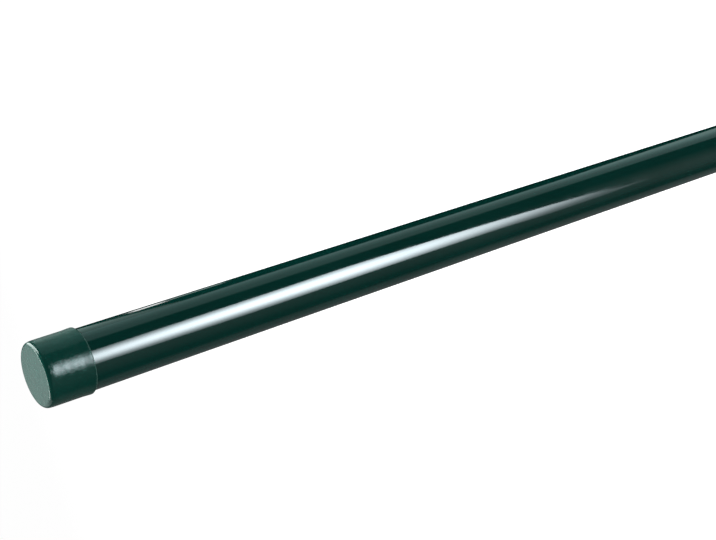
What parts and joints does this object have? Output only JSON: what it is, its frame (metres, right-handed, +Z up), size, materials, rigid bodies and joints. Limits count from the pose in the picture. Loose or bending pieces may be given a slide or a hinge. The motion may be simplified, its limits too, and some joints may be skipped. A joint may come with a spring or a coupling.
{
  "type": "fence post",
  "caption": "Round green plastic-coated steel fence post, open at the foot, with a moulded push-on cap over its head.",
  "frame": {"origin": "centre of the foot's cut end, at the bottom of the post", "axes": "+Z up the post, from the open foot to the capped head; X and Y are alike, because the post is round"},
  "size_m": [0.0366, 0.0366, 1.502],
  "materials": {
    "coated_steel": "moss green plastic coat, glossy, with a faint orange peel",
    "cap_plastic": "moulded moss green plastic, satin, slightly uneven in its gloss"
  },
  "bodies": {
    "root": {"post_tube": "coated_steel", "end_cap": "cap_plastic"}
  },
  "joints": []
}
